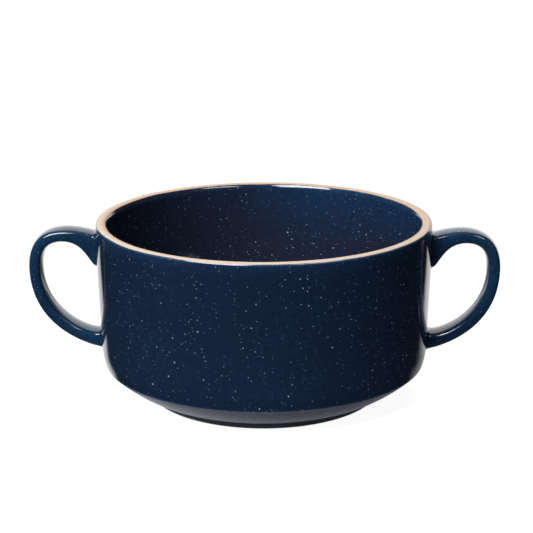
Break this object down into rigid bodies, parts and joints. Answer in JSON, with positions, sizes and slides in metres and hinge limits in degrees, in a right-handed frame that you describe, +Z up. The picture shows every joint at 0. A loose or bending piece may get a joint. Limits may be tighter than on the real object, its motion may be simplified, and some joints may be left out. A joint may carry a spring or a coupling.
{
  "type": "soup mug",
  "caption": "Wide low stoneware soup mug with ear-shaped strap handles on opposite sides, speckled glaze, bare clay lip, a sharp ridge and a foot ring.",
  "frame": {"origin": "centre of the foot ring's lower face, on the surface that the mug stands on", "axes": "+Z up, X through both handles, Y across them"},
  "size_m": [0.185, 0.1308, 0.0694],
  "materials": {
    "bare_clay": "matte unglazed stoneware",
    "joint_slip": "matte fired slip",
    "navy_glaze": "glossy dark navy glaze with fine pale specks"
  },
  "bodies": {
    "root": {"bowl_body": "bare_clay", "inner_glaze": "navy_glaze", "outer_glaze": "navy_glaze", "base_glaze": "navy_glaze", "left_handle": "bare_clay", "right_handle": "bare_clay", "left_handle_glaze": "navy_glaze", "right_handle_glaze": "navy_glaze", "left_upper_slip": "joint_slip", "left_lower_slip": "joint_slip", "right_upper_slip": "joint_slip", "right_lower_slip": "joint_slip"}
  },
  "joints": []
}
